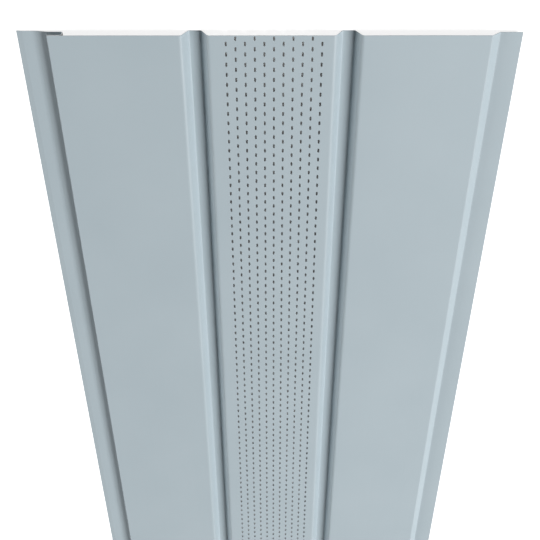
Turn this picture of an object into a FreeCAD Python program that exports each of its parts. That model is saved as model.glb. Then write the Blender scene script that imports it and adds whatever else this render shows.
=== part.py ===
import FreeCAD, Part
import math
import os

# A vented soffit panel: one painted sheet, roll formed into three flat pans.
# X runs across the panel, Y along it, and Z points out of the face that is seen.
# All sizes are in millimetres.

# Sheet and panel
sheet_thickness = 0.5
panel_length = 609.6
pan_pitch = 101.6
pan_count = 3

# Grooves between the pans
groove_depth = 8.0
groove_mouth = 17.4
groove_floor = 8.4
groove_mouth_radius = 2.4
groove_floor_radius = 1.1

# Lock on the left edge: a nail flange, and a hem with a slot behind it
hem_setback = 5.1
hem_gap = 0.2
lock_depth = 9.3
lock_floor_lift = 2.0
lock_bend_radius = 0.8
nail_flange_reach = 21.3
nail_flange_lift = 0.6
flange_lip_angle = 9.0
flange_ramp_angle = 10.0
flange_ramp_setback = 0.5
flange_bend_radius = 3.0

# Stepped flange on the right edge, which slides into the next panel's lock
step_setback = 8.2
step_run = 5.9
step_bend_radius = 1.1
lock_side_clearance = 1.6
lock_lift_clearance = 0.2

# Vent slots in the middle pan
slot_width = 1.3
slot_length = 6.2
column_pitch = 6.35
row_pitch_wanted = 14.9
field_side_offset = 1.4
field_side_margin = 8.0
field_end_margin = 1.6

# Levels of the sheet's middle line, measured up from the lowest face
half_sheet = sheet_thickness / 2
floor_level = half_sheet
face_level = groove_depth + half_sheet
hem_level = face_level - hem_gap - sheet_thickness
nail_flange_level = nail_flange_lift + half_sheet
lock_floor_level = lock_floor_lift + half_sheet
step_flange_level = lock_floor_level + sheet_thickness + lock_lift_clearance

# Places across the panel, measured from the middle of the vented pan
cover_width = pan_count * pan_pitch
hem_edge = hem_setback - cover_width / 2
step_edge = cover_width / 2 - step_setback
lock_end = hem_edge + lock_depth
nail_flange_edge = hem_edge - nail_flange_reach
step_flange_edge = lock_end + cover_width - lock_side_clearance
groove_centres = [pan_pitch * (index - pan_count / 2) for index in range(1, pan_count)]


def middle_radius(inside_radius):
    """Radius of the sheet's middle line round a bend."""
    return inside_radius + half_sheet


def left_lock():
    """Corners of the nail flange, its ramp, the slot behind the hem and the hem itself."""
    lip_angle = math.radians(flange_lip_angle)
    lip_tip_x = nail_flange_edge + half_sheet * math.sin(lip_angle)
    lip_tip_z = half_sheet * math.cos(lip_angle)
    lip_fold_x = lip_tip_x + (nail_flange_level - lip_tip_z) / math.tan(lip_angle)
    ramp_top_x = hem_edge - flange_ramp_setback
    ramp_run = (lock_floor_level - nail_flange_level) / math.tan(math.radians(flange_ramp_angle))
    ramp_foot_x = ramp_top_x - ramp_run
    lock_wall = lock_end + half_sheet
    hem_middle = hem_edge + half_sheet
    flange_radius = middle_radius(flange_bend_radius)
    lock_radius = middle_radius(lock_bend_radius)
    hem_radius = (face_level - hem_level) / 2
    return [
        (lip_tip_x, lip_tip_z, 0),
        (lip_fold_x, nail_flange_level, flange_radius),
        (ramp_foot_x, nail_flange_level, flange_radius),
        (ramp_top_x, lock_floor_level, flange_radius),
        (lock_wall, lock_floor_level, lock_radius),
        (lock_wall, hem_level, lock_radius),
        (hem_middle, hem_level, hem_radius),
        (hem_middle, face_level, hem_radius),
    ]


def groove(centre):
    """Corners of one flat-bottomed groove."""
    mouth_radius = middle_radius(groove_mouth_radius)
    floor_radius = middle_radius(groove_floor_radius)
    return [
        (centre - groove_mouth / 2, face_level, mouth_radius),
        (centre - groove_floor / 2, floor_level, floor_radius),
        (centre + groove_floor / 2, floor_level, floor_radius),
        (centre + groove_mouth / 2, face_level, mouth_radius),
    ]


def right_step():
    """Corners of the step down to the flange on the right edge."""
    radius = middle_radius(step_bend_radius)
    return [
        (step_edge, face_level, radius),
        (step_edge + step_run, step_flange_level, radius),
        (step_flange_edge, step_flange_level, 0),
    ]


def section_corners():
    """Corners of the sheet's middle line, from the nail flange to the stepped flange."""
    corners = left_lock()
    for centre in groove_centres:
        corners += groove(centre)
    return corners + right_step()


def section_point(place):
    """A point of the section, at the panel's front end."""
    return FreeCAD.Vector(place.x, -panel_length / 2, place.y)


def run_edge(start, end):
    """A straight edge, or nothing where two bends meet."""
    if start.distanceToPoint(end) < Part.Precision.confusion():
        return []
    return [Part.LineSegment(section_point(start), section_point(end)).toShape()]


def side_edges(corners, offset):
    """Edges of one side of the sheet, at an offset to the left of its middle line."""
    points = [FreeCAD.Vector(x, z, 0) for x, z, radius in corners]
    headings = [(end - start).normalize() for start, end in zip(points, points[1:])]
    normals = [FreeCAD.Vector(-heading.y, heading.x, 0) for heading in headings]
    edges = []
    reached = points[0] + normals[0] * offset
    first = reached
    for index in range(1, len(points) - 1):
        heading_in, heading_out = headings[index - 1], headings[index]
        turn = math.atan2(heading_in.cross(heading_out).z, heading_in.dot(heading_out))
        side = math.copysign(1, turn)
        radius = corners[index][2]
        setback = radius * math.tan(abs(turn) / 2)
        bend_start = points[index] - heading_in * setback
        centre = bend_start + normals[index - 1] * (side * radius)
        to_corner = (points[index] - centre).normalize()
        side_radius = radius - side * offset
        arc_start = centre - normals[index - 1] * (side * side_radius)
        arc_middle = centre + to_corner * side_radius
        arc_end = centre - normals[index] * (side * side_radius)
        edges += run_edge(reached, arc_start)
        arc_points = [section_point(place) for place in (arc_start, arc_middle, arc_end)]
        edges.append(Part.Arc(*arc_points).toShape())
        reached = arc_end
    last = points[-1] + normals[-1] * offset
    edges += run_edge(reached, last)
    return edges, first, last


def folded_sheet():
    """The whole folded sheet, before its slots are punched."""
    corners = section_corners()
    face_edges, face_first, face_last = side_edges(corners, half_sheet)
    back_edges, back_first, back_last = side_edges(corners, -half_sheet)
    end_edges = run_edge(back_first, face_first) + run_edge(face_last, back_last)
    outline = Part.Wire(Part.__sortEdges__(face_edges + back_edges + end_edges))
    return Part.Face(outline).extrude(FreeCAD.Vector(0, panel_length, 0))


def vent_slots():
    """Cutters for the slots: columns along the panel, every other one half a pitch along."""
    pan_width = pan_pitch - groove_mouth
    column_room = pan_width - 2 * (field_side_margin + field_side_offset)
    column_gaps = int(column_room / column_pitch)
    row_room = panel_length - 2 * field_end_margin - slot_length
    row_gaps = int(row_room / row_pitch_wanted)
    row_pitch = row_room / row_gaps
    cutter_height = 3 * sheet_thickness
    cutters = []
    for column in range(column_gaps + 1):
        x = field_side_offset + column_pitch * (column - column_gaps / 2) - slot_width / 2
        full_column = column % 2
        slot_count = row_gaps + full_column
        for row in range(slot_count):
            y = row_pitch * (row - (slot_count - 1) / 2) - slot_length / 2
            corner = FreeCAD.Vector(x, y, face_level - cutter_height / 2)
            cutters.append(Part.makeBox(slot_width, slot_length, cutter_height, corner))
    return Part.makeCompound(cutters)


# Build the panel with its origin under the middle of its box
panel = folded_sheet().cut(vent_slots())
panel = panel.Solids[0]
panel.translate(FreeCAD.Vector(-(nail_flange_edge + step_flange_edge) / 2, 0, 0))
os.makedirs("parts", exist_ok=True)
panel.exportStep("parts/soffit_panel.step")
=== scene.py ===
import math
from collections import namedtuple

import bpy
from mathutils import Matrix, Vector


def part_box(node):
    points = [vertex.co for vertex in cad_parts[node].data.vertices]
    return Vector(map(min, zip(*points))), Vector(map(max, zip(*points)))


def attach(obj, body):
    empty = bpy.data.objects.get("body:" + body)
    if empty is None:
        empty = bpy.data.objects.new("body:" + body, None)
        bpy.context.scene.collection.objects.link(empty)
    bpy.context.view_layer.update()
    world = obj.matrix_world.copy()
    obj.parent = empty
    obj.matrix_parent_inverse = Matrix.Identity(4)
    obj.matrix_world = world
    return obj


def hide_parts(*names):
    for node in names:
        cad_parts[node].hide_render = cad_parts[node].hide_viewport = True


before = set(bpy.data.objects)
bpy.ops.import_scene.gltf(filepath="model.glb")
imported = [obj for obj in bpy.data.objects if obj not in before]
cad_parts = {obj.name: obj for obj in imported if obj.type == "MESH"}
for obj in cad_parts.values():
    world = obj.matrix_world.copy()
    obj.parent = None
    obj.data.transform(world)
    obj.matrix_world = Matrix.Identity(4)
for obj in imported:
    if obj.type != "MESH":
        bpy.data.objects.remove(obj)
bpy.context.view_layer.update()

# A vented soffit panel: one painted sheet, lying face up on a pale floor.
# X runs across the panel, Y along it, and Z points out of the painted face. Units are metres.
low_corner, high_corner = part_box("soffit_panel")
MM = 0.001

# Sheet, grooves and edges
SHEET = 0.5 * MM
PAN_COUNT = 3
PAN_PITCH = 101.6 * MM
GROOVE_DEPTH = 8.0 * MM
GROOVE_MOUTH = 17.4 * MM
GROOVE_FLOOR = 8.4 * MM
MOUTH_BEND = 2.4 * MM
FLOOR_BEND = 1.1 * MM
HEM_SETBACK = 5.1 * MM
HEM_GAP = 0.2 * MM
LOCK_DEPTH = 9.3 * MM
LOCK_BEND = 0.8 * MM
LOCK_FLOOR_LIFT = 2.0 * MM
NAIL_FLANGE_REACH = 21.3 * MM
NAIL_FLANGE_LIFT = 0.6 * MM
LIP_ANGLE = math.radians(9.0)
RAMP_ANGLE = math.radians(10.0)
RAMP_SETBACK = 0.5 * MM
FLANGE_BEND = 3.0 * MM
STEP_SETBACK = 8.2 * MM
STEP_RUN = 5.9 * MM
STEP_BEND = 1.1 * MM
LOCK_LIFT_CLEARANCE = 0.2 * MM
EDGE_ROUND = 0.06 * MM

# Vent slots, as they are punched in the real sheet
SLOT_WIDTH = 1.3 * MM
SLOT_LENGTH = 3.1 * MM
SLOT_ROLL = 0.2 * MM
SLOT_ROLL_DEPTH = 0.16 * MM
SLOT_ARC_STEPS = 6
COLUMN_COUNT = 11
COLUMN_PITCH = 6.35 * MM
FIELD_OFFSET = 1.4 * MM
FIRST_SLOT = 2.2 * MM
ROW_GAPS = 82

# Fineness of the mesh
BEND_STEPS = 6
SUPPORT_LOOP = 0.6 * MM
RUN_DIVISION = 14.0 * MM
LEVELS_PER_ROW = 2
COARSE_LEVELS = 4
SHORTEST_RUN = 0.001 * MM
SHARP_ANGLE = math.radians(28)

# Slack in the two wide pans: an even part, and two waves along the panel with a phase for each side
PAN_SAG = 0.14 * MM
EVEN_SHARE = 0.55
SLOW_SHARE = 0.27
QUICK_SHARE = 0.18
SLOW_WAVE = 410 * MM
QUICK_WAVE = 173 * MM
LEFT_PHASE = 1.9
RIGHT_PHASE = 4.3
QUICK_PHASE_FACTOR = 2.3

# Worked out from the sizes above
PANEL_LENGTH = high_corner.y - low_corner.y
HALF_SHEET = SHEET / 2
FLOOR_LEVEL = HALF_SHEET
FACE_LEVEL = GROOVE_DEPTH + HALF_SHEET
HEM_LEVEL = FACE_LEVEL - HEM_GAP - SHEET
NAIL_FLANGE_LEVEL = NAIL_FLANGE_LIFT + HALF_SHEET
LOCK_FLOOR_LEVEL = LOCK_FLOOR_LIFT + HALF_SHEET
STEP_FLANGE_LEVEL = LOCK_FLOOR_LEVEL + SHEET + LOCK_LIFT_CLEARANCE
HEM_EDGE = low_corner.x + NAIL_FLANGE_REACH
HALF_COVER = PAN_COUNT / 2 * PAN_PITCH
VENT_CENTRE = HEM_EDGE - HEM_SETBACK + HALF_COVER
STEP_EDGE = VENT_CENTRE + HALF_COVER - STEP_SETBACK
FIELD_CENTRE = VENT_CENTRE + FIELD_OFFSET
HALF_FIELD = COLUMN_PITCH * COLUMN_COUNT / 2
FIELD_LEFT = FIELD_CENTRE - HALF_FIELD
FIELD_RIGHT = FIELD_CENTRE + HALF_FIELD
ROW_PITCH = (PANEL_LENGTH - 2 * FIRST_SLOT) / ROW_GAPS

# Places along the panel: its end, the rounding of the cut edge, and the first row of slots
FIRST_END, FIRST_EDGE, FIRST_ROW = 0, 1, 2

# Sides of the sheet and places of the finishes among the panel's materials
FACE, BACK = 1, -1
PAINTED, BACKER, BARE = 0, 1, 2
COATS = ((FACE, PAINTED), (BACK, BACKER))

Sample = namedtuple("Sample", "x z normal_x normal_z half")


def left_lock_corners():
    """Nail flange, lock slot and hem, as corners (x, z, bend radius) of the sheet's middle line."""
    tip_x = low_corner.x + HALF_SHEET * math.sin(LIP_ANGLE)
    tip_z = HALF_SHEET * math.cos(LIP_ANGLE)
    fold_x = tip_x + (NAIL_FLANGE_LEVEL - tip_z) / math.tan(LIP_ANGLE)
    ramp_top = HEM_EDGE - RAMP_SETBACK
    ramp_foot = ramp_top - (LOCK_FLOOR_LEVEL - NAIL_FLANGE_LEVEL) / math.tan(RAMP_ANGLE)
    flange_radius = FLANGE_BEND + HALF_SHEET
    lock_wall = HEM_EDGE + LOCK_DEPTH + HALF_SHEET
    hem_middle = HEM_EDGE + HALF_SHEET
    lock_radius = LOCK_BEND + HALF_SHEET
    hem_radius = (FACE_LEVEL - HEM_LEVEL) / 2
    return [
        (tip_x, tip_z, 0),
        (fold_x, NAIL_FLANGE_LEVEL, flange_radius),
        (ramp_foot, NAIL_FLANGE_LEVEL, flange_radius),
        (ramp_top, LOCK_FLOOR_LEVEL, flange_radius),
        (lock_wall, LOCK_FLOOR_LEVEL, lock_radius),
        (lock_wall, HEM_LEVEL, lock_radius),
        (hem_middle, HEM_LEVEL, hem_radius),
        (hem_middle, FACE_LEVEL, hem_radius),
    ]


def groove_corners(centre):
    """One flat-bottomed groove."""
    mouth_radius = MOUTH_BEND + HALF_SHEET
    floor_radius = FLOOR_BEND + HALF_SHEET
    return [
        (centre - GROOVE_MOUTH / 2, FACE_LEVEL, mouth_radius),
        (centre - GROOVE_FLOOR / 2, FLOOR_LEVEL, floor_radius),
        (centre + GROOVE_FLOOR / 2, FLOOR_LEVEL, floor_radius),
        (centre + GROOVE_MOUTH / 2, FACE_LEVEL, mouth_radius),
    ]


def right_step_corners():
    """The step down to the flange on the right edge."""
    radius = STEP_BEND + HALF_SHEET
    return [
        (STEP_EDGE, FACE_LEVEL, radius),
        (STEP_EDGE + STEP_RUN, STEP_FLANGE_LEVEL, radius),
        (high_corner.x, STEP_FLANGE_LEVEL, 0),
    ]


def run_steps(length):
    """Distances of the samples inside a straight run, with one close to each end."""
    inner = length - 2 * SUPPORT_LOOP
    if inner < SUPPORT_LOOP:
        return []
    divisions = math.ceil(inner / RUN_DIVISION)
    return [SUPPORT_LOOP + inner * index / divisions for index in range(divisions + 1)]


def sample_path(corners):
    """Samples along the middle line: straight runs, and the bends at their ends."""
    points = [Vector((x, z)) for x, z, radius in corners]
    headings = [(end - start).normalized() for start, end in zip(points, points[1:])]
    normals = [Vector((-heading.y, heading.x)) for heading in headings]
    samples = [Sample(*points[0], *normals[0], HALF_SHEET)]
    reached = points[0]
    for index, heading in enumerate(headings):
        normal = normals[index]
        last_run = index == len(headings) - 1
        following = heading if last_run else headings[index + 1]
        turn = math.atan2(heading.cross(following), heading.dot(following))
        radius = corners[index + 1][2]
        run_end = points[index + 1] - heading * (radius * math.tan(abs(turn) / 2))
        run_length = (run_end - reached).length
        for distance in run_steps(run_length):
            samples.append(Sample(*(reached + heading * distance), *normal, HALF_SHEET))
        if last_run:
            samples.append(Sample(*run_end, *normal, HALF_SHEET))
            return samples
        inward = math.copysign(radius, turn)
        centre = run_end + normal * inward
        first_step = 0 if run_length > SHORTEST_RUN else 1
        for step in range(first_step, BEND_STEPS + 1):
            turned = Matrix.Rotation(turn * step / BEND_STEPS, 2) @ normal
            samples.append(Sample(*(centre - turned * inward), *turned, HALF_SHEET))
        reached = centre - normals[index + 1] * inward


def round_tip(samples):
    """The same samples with the first edge of the sheet taken off."""
    tip, following = samples[0], samples[1]
    along = Vector((following.x - tip.x, following.z - tip.z)).normalized() * EDGE_ROUND
    inset = tip._replace(x=tip.x + along.x, z=tip.z + along.y)
    return [tip._replace(half=tip.half - EDGE_ROUND), inset] + samples[1:]


def section_samples():
    """Samples across the whole panel, and the place of the first column border among them."""
    left_groove = groove_corners(VENT_CENTRE - PAN_PITCH / 2)
    right_groove = groove_corners(VENT_CENTRE + PAN_PITCH / 2)
    left = sample_path(left_lock_corners() + left_groove + [(FIELD_LEFT, FACE_LEVEL, 0)])
    right = sample_path([(FIELD_RIGHT, FACE_LEVEL, 0)] + right_groove + right_step_corners())
    left = round_tip(left)
    right = round_tip(right[::-1])[::-1]
    border_places = [FIELD_LEFT + COLUMN_PITCH * index for index in range(1, COLUMN_COUNT)]
    borders = [left[-1]._replace(x=place) for place in border_places]
    return left + borders + right, len(left) - 1


def row_levels():
    """Places along the panel: its ends, the rounding of its cut edges, and every half row of slots."""
    level_count = LEVELS_PER_ROW * ROW_GAPS + 1
    half_rows = [FIRST_SLOT + ROW_PITCH * index / LEVELS_PER_ROW for index in range(level_count)]
    distances = [0, EDGE_ROUND] + half_rows + [PANEL_LENGTH - EDGE_ROUND, PANEL_LENGTH]
    return [low_corner.y + distance for distance in distances]


def pan_sag(sample, y):
    """How far a wide pan hangs below its flat, in slow waves along the panel."""
    from_vent = sample.x - VENT_CENTRE
    if abs(sample.z - FACE_LEVEL) > EDGE_ROUND or abs(from_vent) < PAN_PITCH / 2:
        return 0.0
    inner_edge = (PAN_PITCH + GROOVE_MOUTH) / 2
    outer_edge = VENT_CENTRE - HEM_EDGE if from_vent < 0 else STEP_EDGE - VENT_CENTRE
    across = (abs(from_vent) - inner_edge) / (outer_edge - inner_edge)
    if not 0 < across < 1:
        return 0.0
    phase = LEFT_PHASE if from_vent < 0 else RIGHT_PHASE
    slow = math.sin(math.tau * y / SLOW_WAVE + phase)
    quick = math.sin(math.tau * y / QUICK_WAVE + QUICK_PHASE_FACTOR * phase)
    along_panel = EVEN_SHARE + SLOW_SHARE * slow + QUICK_SHARE * quick
    return PAN_SAG * math.sin(math.pi * across) ** 2 * along_panel


class SheetMesh:
    """Collects the vertices and faces of the folded sheet."""

    def __init__(self):
        self.samples, self.field_start = section_samples()
        self.field_end = self.field_start + COLUMN_COUNT
        self.levels = row_levels()
        self.last_end = len(self.levels) - 1
        self.last_edge = self.last_end - FIRST_EDGE
        self.last_row = self.last_end - FIRST_ROW
        self.vertices = []
        self.faces = []
        self.finishes = []
        self.shared = {}

    def add_vertex(self, x, y, z):
        self.vertices.append((x, y, z))
        return len(self.vertices) - 1

    def add_face(self, side, finish, *corners):
        self.faces.append(corners if side == FACE else corners[::-1])
        self.finishes.append(finish)

    def corner(self, side, place, level):
        """The vertex on one side of the sheet, at a sample across it and a level along it."""
        key = (side, place, level)
        if key not in self.shared:
            sample = self.samples[place]
            at_end = level in (FIRST_END, self.last_end)
            offset = side * (sample.half - (EDGE_ROUND if at_end else 0))
            y = self.levels[level]
            z = sample.z + sample.normal_z * offset - pan_sag(sample, y)
            self.shared[key] = self.add_vertex(sample.x + sample.normal_x * offset, y, z)
        return self.shared[key]

    def add_patch(self, side, finish, place, low, high):
        """A plain face on one side of the sheet, from a sample to the next and from level to level."""
        self.add_face(
            side,
            finish,
            self.corner(side, place, low),
            self.corner(side, place + 1, low),
            self.corner(side, place + 1, high),
            self.corner(side, place, high),
        )

    def coarse_levels(self):
        """Levels that run across the whole panel."""
        inner = range(FIRST_ROW, self.last_edge, COARSE_LEVELS)
        return [FIRST_EDGE] + list(inner) + [self.last_edge]

    def sweep(self, first, last):
        """Both sides of the sheet between two samples, along the panel."""
        levels = self.coarse_levels()
        for side, finish in COATS:
            for place in range(first, last):
                for low, high in zip(levels, levels[1:]):
                    self.add_patch(side, finish, place, low, high)

    def stitch(self, plain, fine, turned):
        """Joins the coarse levels at one sample to every level at the field's edge beside it."""
        levels = self.coarse_levels()
        for side, finish in COATS:
            facing = side * turned
            for low, high in zip(levels, levels[1:]):
                middle = (low + high + 1) // 2
                low_hub = self.corner(side, plain, low)
                high_hub = self.corner(side, plain, high)
                for level in range(low, high):
                    hub = low_hub if level < middle else high_hub
                    start = self.corner(side, fine, level)
                    end = self.corner(side, fine, level + 1)
                    self.add_face(facing, finish, hub, start, end)
                self.add_face(facing, finish, low_hub, self.corner(side, fine, middle), high_hub)

    def slot_ring(self, place, level, grow, z):
        """A slot's outline, from its lower left round to its upper left."""
        centre_x = self.samples[place].x + COLUMN_PITCH / 2
        radius = SLOT_WIDTH / 2 + grow
        reach = (SLOT_LENGTH - SLOT_WIDTH) / 2
        ring = []
        for end, start_angle in ((-1, math.pi), (1, 0)):
            for step in range(SLOT_ARC_STEPS + 1):
                angle = start_angle + math.pi * step / SLOT_ARC_STEPS
                x = centre_x + radius * math.cos(angle)
                y = self.levels[level] + end * reach + radius * math.sin(angle)
                ring.append(self.add_vertex(x, y, z))
        return ring

    def surround(self, side, finish, place, level, ring):
        """The flat sheet between a slot and the borders of its cell."""
        count = SLOT_ARC_STEPS + 1
        half = SLOT_ARC_STEPS // 2
        lower, upper = ring[:count], ring[count:]
        left = [self.corner(side, place, level + step) for step in (-1, 0, 1)]
        right = [self.corner(side, place + 1, level + step) for step in (-1, 0, 1)]
        for arc, first, second in ((lower, left[0], right[0]), (upper, right[2], left[2])):
            for step in range(SLOT_ARC_STEPS):
                hub = first if step < half else second
                self.add_face(side, finish, hub, arc[step + 1], arc[step])
            self.add_face(side, finish, first, second, arc[half])
        for border, near, far in ((right, lower[-1], upper[0]), (left[::-1], upper[-1], lower[0])):
            self.add_face(side, finish, border[0], border[1], near)
            self.add_face(side, finish, border[1], far, near)
            self.add_face(side, finish, border[1], border[2], far)

    def slot_cell(self, place, level):
        """One punched slot and the sheet round it."""
        face_z = FACE_LEVEL + HALF_SHEET
        back_z = FACE_LEVEL - HALF_SHEET
        rim = self.slot_ring(place, level, SLOT_ROLL, face_z)
        mouth = self.slot_ring(place, level, 0, face_z - SLOT_ROLL_DEPTH)
        exit_ring = self.slot_ring(place, level, 0, back_z)
        self.surround(FACE, PAINTED, place, level, rim)
        self.surround(BACK, BACKER, place, level, exit_ring)
        for upper, lower, finish in ((rim, mouth, PAINTED), (mouth, exit_ring, BARE)):
            for index in range(len(rim)):
                after = (index + 1) % len(rim)
                self.add_face(FACE, finish, upper[index], upper[after], lower[after], lower[index])

    def land(self, place, low, high):
        """A plain bit of a column, without a slot."""
        for side, finish in COATS:
            self.add_patch(side, finish, place, low, high)

    def vent_field(self):
        """Columns of slots, every other one half a row further along."""
        for column in range(COLUMN_COUNT):
            place = self.field_start + column
            full_column = column % 2 == 1
            first_slot = FIRST_ROW if full_column else FIRST_ROW + 1
            for level in range(first_slot, self.last_edge, LEVELS_PER_ROW):
                self.slot_cell(place, level)
            if not full_column:
                self.land(place, FIRST_EDGE, FIRST_ROW)
                self.land(place, self.last_row, self.last_edge)

    def cut_ends(self):
        """Rounded edges and flat cuts across both ends of the panel."""
        first = (FIRST_END, FIRST_EDGE, FACE)
        last = (self.last_end, self.last_edge, BACK)
        for end, inner, outward in (first, last):
            for place in range(len(self.samples) - 1):
                following = place + 1
                for side, finish in COATS:
                    self.add_face(
                        side * outward,
                        finish,
                        self.corner(side, place, end),
                        self.corner(side, following, end),
                        self.corner(side, following, inner),
                        self.corner(side, place, inner),
                    )
                self.add_face(
                    outward,
                    BARE,
                    self.corner(BACK, place, end),
                    self.corner(BACK, following, end),
                    self.corner(FACE, following, end),
                    self.corner(FACE, place, end),
                )

    def side_edges(self):
        """Slit edges along the nail flange and the stepped flange."""
        levels = [FIRST_END] + self.coarse_levels() + [self.last_end]
        for place, outward in ((0, FACE), (len(self.samples) - 1, BACK)):
            for low, high in zip(levels, levels[1:]):
                self.add_face(
                    outward,
                    BARE,
                    self.corner(FACE, place, high),
                    self.corner(BACK, place, high),
                    self.corner(BACK, place, low),
                    self.corner(FACE, place, low),
                )

    def build(self):
        """Fills the lists and returns the finished mesh."""
        self.sweep(0, self.field_start - 1)
        self.stitch(self.field_start - 1, self.field_start, FACE)
        self.vent_field()
        self.stitch(self.field_end + 1, self.field_end, BACK)
        self.sweep(self.field_end + 1, len(self.samples) - 1)
        self.cut_ends()
        self.side_edges()
        mesh = bpy.data.meshes.new("folded_sheet")
        mesh.from_pydata(self.vertices, [], self.faces)
        mesh.polygons.foreach_set("material_index", self.finishes)
        mesh.shade_smooth()
        mesh.set_sharp_from_angle(angle=SHARP_ANGLE)
        return mesh


# The middle part of a noise's range, over which colours and numbers run
NOISE_LOW = 0.3
NOISE_HIGH = 0.7


def new_material(name):
    """A new material, with its node tree and its Principled shader."""
    material = bpy.data.materials.new(name)
    material.use_nodes = True
    tree = material.node_tree
    return material, tree, tree.nodes["Principled BSDF"]


def stretched_noise(tree, scale, detail, stretch=(1, 1, 1)):
    """Noise in the panel's own coordinates, drawn out along one axis where stretch is small."""
    place = tree.nodes.new("ShaderNodeTexCoord")
    mapping = tree.nodes.new("ShaderNodeMapping")
    mapping.inputs["Scale"].default_value = stretch
    noise = tree.nodes.new("ShaderNodeTexNoise")
    noise.inputs["Scale"].default_value = scale
    noise.inputs["Detail"].default_value = detail
    tree.links.new(place.outputs["Object"], mapping.inputs["Vector"])
    tree.links.new(mapping.outputs["Vector"], noise.inputs["Vector"])
    return noise.outputs["Fac"]


def colour_between(tree, factor, dark, light):
    """A colour that runs from dark to light over the middle of a noise."""
    ramp = tree.nodes.new("ShaderNodeValToRGB")
    start, end = ramp.color_ramp.elements
    start.position = NOISE_LOW
    start.color = (*dark, 1)
    end.position = NOISE_HIGH
    end.color = (*light, 1)
    tree.links.new(factor, ramp.inputs["Fac"])
    return ramp.outputs["Color"]


def value_between(tree, factor, low, high):
    """A number that runs from low to high over the middle of a noise."""
    spread = tree.nodes.new("ShaderNodeMapRange")
    spread.inputs["From Min"].default_value = NOISE_LOW
    spread.inputs["From Max"].default_value = NOISE_HIGH
    spread.inputs["To Min"].default_value = low
    spread.inputs["To Max"].default_value = high
    tree.links.new(factor, spread.inputs["Value"])
    return spread.outputs["Result"]


def bumped(tree, shader, height, depth, strength):
    """Roughens a shader's surface by a height."""
    bump = tree.nodes.new("ShaderNodeBump")
    bump.inputs["Distance"].default_value = depth
    bump.inputs["Strength"].default_value = strength
    tree.links.new(height, bump.inputs["Height"])
    tree.links.new(bump.outputs["Normal"], shader.inputs["Normal"])


def coil_paint():
    """Satin grey paint, with a fine orange peel and faint roll lines along the panel."""
    material, tree, shader = new_material("coil_paint")
    mottle = stretched_noise(tree, scale=14, detail=4)
    roll_lines = stretched_noise(tree, scale=260, detail=3, stretch=(1, 0.02, 1))
    peel = stretched_noise(tree, scale=700, detail=2)
    colour = colour_between(tree, mottle, dark=(0.398, 0.470, 0.508), light=(0.418, 0.490, 0.528))
    roughness = value_between(tree, roll_lines, low=0.52, high=0.60)
    tree.links.new(colour, shader.inputs["Base Color"])
    tree.links.new(roughness, shader.inputs["Roughness"])
    bumped(tree, shader, peel, depth=0.012 * MM, strength=0.35)
    return material


def backer_coat():
    """Thin, dull wash coat on the back of the sheet."""
    material, tree, shader = new_material("backer_coat")
    blotches = stretched_noise(tree, scale=30, detail=5)
    drag_lines = stretched_noise(tree, scale=320, detail=3, stretch=(1, 0.03, 1))
    colour = colour_between(tree, blotches, dark=(0.47, 0.48, 0.47), light=(0.55, 0.56, 0.55))
    roughness = value_between(tree, drag_lines, low=0.50, high=0.66)
    tree.links.new(colour, shader.inputs["Base Color"])
    tree.links.new(roughness, shader.inputs["Roughness"])
    bumped(tree, shader, drag_lines, depth=0.01 * MM, strength=0.3)
    return material


def bare_aluminium():
    """Dull sheared metal at the cut ends and in the slots."""
    material, tree, shader = new_material("bare_aluminium")
    shear_marks = stretched_noise(tree, scale=2400, detail=2, stretch=(1, 1, 0.15))
    colour = colour_between(tree, shear_marks, dark=(0.34, 0.35, 0.36), light=(0.52, 0.53, 0.54))
    roughness = value_between(tree, shear_marks, low=0.46, high=0.62)
    tree.links.new(colour, shader.inputs["Base Color"])
    tree.links.new(roughness, shader.inputs["Roughness"])
    shader.inputs["Metallic"].default_value = 1.0
    bumped(tree, shader, shear_marks, depth=0.02 * MM, strength=0.4)
    return material


def panel():
    """The folded sheet, in place of its plain solid."""
    sheet = bpy.data.objects.new("folded_sheet", SheetMesh().build())
    bpy.context.collection.objects.link(sheet)
    for material in (coil_paint(), backer_coat(), bare_aluminium()):
        sheet.data.materials.append(material)
    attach(sheet, "root")
    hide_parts("soffit_panel")


# Stage: a pale floor with painted shade under the panel, soft light from the right and a weak, low fill
# from the left
WHITE = (1, 1, 1, 1)
FLOOR_REACH = 2.2
FLOOR_ALBEDO = 0.6
FLOOR_ROUGHNESS = 0.9
FLOOR_GLOW = 0.86
# Painted shade: under the panel, from a little inside its edges, the floor glows only faintly, on top
# of the real shadow there
PAINTED_SHADE_GLOW = 0.05
PAINTED_SHADE_INSET = 4.0 * MM
AMBIENT_LEVEL = 0.03
KEY_LEVEL = 0.84
KEY_DISTANCE = 4.0
KEY_SIZE = 1.7
KEY_DIRECTION = Vector((0.70, -0.1, 0.71))
FILL_LEVEL = 0.15
FILL_DISTANCE = 4.0
FILL_SIZE = 1.5
FILL_DIRECTION = Vector((-0.95, -0.1, 0.32))

# Camera, solved from the photograph's vanishing point: image sizes in pixels, the sensor in millimetres
IMAGE_SIZE = 540
SENSOR_WIDTH = 36.0
FOCAL_LENGTH = 895
VANISHING_SHIFT = 1.8
CLIP_START = 0.01
CAMERA_TILT = math.radians(51.1)
CAMERA_PAN = math.atan2(VANISHING_SHIFT, FOCAL_LENGTH)
CAMERA_BEYOND_END = 247.5 * MM
CAMERA_ABOVE_FACE = 550.1 * MM


def seen_directly(tree):
    """1 for rays from the camera and for mirrored or transmitted ones, 0 for the rest."""
    path = tree.nodes.new("ShaderNodeLightPath")
    total = path.outputs["Is Camera Ray"]
    for name in ("Is Glossy Ray", "Is Transmission Ray"):
        either = tree.nodes.new("ShaderNodeMath")
        either.operation = "MAXIMUM"
        tree.links.new(total, either.inputs[0])
        tree.links.new(path.outputs[name], either.inputs[1])
        total = either.outputs["Value"]
    return total


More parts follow.
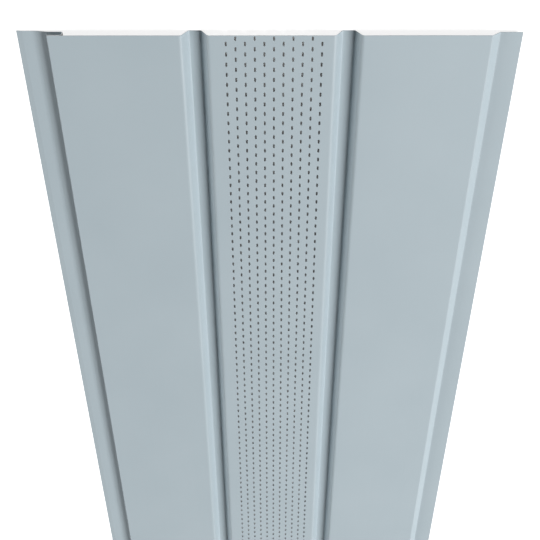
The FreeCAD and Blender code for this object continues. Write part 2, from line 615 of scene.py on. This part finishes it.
def floor_material(name, glow):
    """Matt and pale, with a glow that lifts it where it is seen directly."""
    material, tree, shader = new_material(name)
    shader.inputs["Base Color"].default_value = (FLOOR_ALBEDO, FLOOR_ALBEDO, FLOOR_ALBEDO, 1)
    shader.inputs["Roughness"].default_value = FLOOR_ROUGHNESS
    shader.inputs["Specular IOR Level"].default_value = 0.0
    shader.inputs["Emission Color"].default_value = WHITE
    lifted = tree.nodes.new("ShaderNodeMath")
    lifted.operation = "MULTIPLY"
    lifted.inputs[1].default_value = glow
    tree.links.new(seen_directly(tree), lifted.inputs[0])
    tree.links.new(lifted.outputs["Value"], shader.inputs["Emission Strength"])
    return material


def floor():
    """A wide floor with painted shade under the panel, where it glows less, so that the slots look
    dark.
    """
    across = [-FLOOR_REACH, low_corner.x + PAINTED_SHADE_INSET, high_corner.x - PAINTED_SHADE_INSET, FLOOR_REACH]
    along = [-FLOOR_REACH, low_corner.y + PAINTED_SHADE_INSET, high_corner.y - PAINTED_SHADE_INSET, FLOOR_REACH]
    vertices = [(x, y, 0) for y in along for x in across]
    faces = []
    for row in range(len(along) - 1):
        for column in range(len(across) - 1):
            start = row * len(across) + column
            above = start + len(across)
            faces.append((start, start + 1, above + 1, above))
    mesh = bpy.data.meshes.new("floor")
    mesh.from_pydata(vertices, [], faces)
    mesh.materials.append(floor_material("floor_white", FLOOR_GLOW))
    # Painted shade: a dim copy of the floor material, for the part under the panel
    mesh.materials.append(floor_material("floor_painted_shade", PAINTED_SHADE_GLOW))
    middle_face = len(faces) // 2
    mesh.polygons[middle_face].material_index = mesh.materials.find("floor_painted_shade")
    ground = bpy.data.objects.new("floor", mesh)
    bpy.context.collection.objects.link(ground)


def world_light():
    """Even light from all round, against a white background."""
    world = bpy.data.worlds.new("studio")
    world.use_nodes = True
    tree = world.node_tree
    background = tree.nodes["Background"]
    background.inputs["Color"].default_value = WHITE
    level = tree.nodes.new("ShaderNodeMapRange")
    level.inputs["To Min"].default_value = AMBIENT_LEVEL
    level.inputs["To Max"].default_value = 1.0
    tree.links.new(seen_directly(tree), level.inputs["Value"])
    tree.links.new(level.outputs["Result"], background.inputs["Strength"])
    bpy.context.scene.world = world


def lamp(name, direction, distance, size, level):
    """A soft square lamp, set by the level that it gives a flat white surface."""
    towards = direction.normalized()
    power_per_level = math.pi ** 2 * distance ** 2 / towards.z
    light = bpy.data.lights.new(name, "AREA")
    light.size = size
    light.energy = level * power_per_level
    holder = bpy.data.objects.new(name, light)
    holder.location = towards * distance
    holder.rotation_euler = towards.to_track_quat("Z", "Y").to_euler()
    bpy.context.collection.objects.link(holder)


def camera():
    """Looks down along the panel from beyond its near end, with that end at the top."""
    data = bpy.data.cameras.new("camera")
    data.sensor_width = SENSOR_WIDTH
    data.lens = SENSOR_WIDTH * FOCAL_LENGTH / IMAGE_SIZE
    data.clip_start = CLIP_START
    eye = bpy.data.objects.new("camera", data)
    turned = Matrix.Rotation(math.pi, 4, "Z")
    tilted = Matrix.Rotation(math.pi / 2 - CAMERA_TILT, 4, "X")
    panned = Matrix.Rotation(CAMERA_PAN, 4, "Y")
    place = Vector((VENT_CENTRE, high_corner.y + CAMERA_BEYOND_END, high_corner.z + CAMERA_ABOVE_FACE))
    eye.matrix_world = Matrix.Translation(place) @ turned @ tilted @ turned @ panned
    bpy.context.collection.objects.link(eye)
    bpy.context.scene.camera = eye


panel()
floor()
world_light()
lamp("key", KEY_DIRECTION, KEY_DISTANCE, KEY_SIZE, KEY_LEVEL)
lamp("fill", FILL_DIRECTION, FILL_DISTANCE, FILL_SIZE, FILL_LEVEL)
camera()
bpy.context.scene.view_settings.view_transform = "Standard"
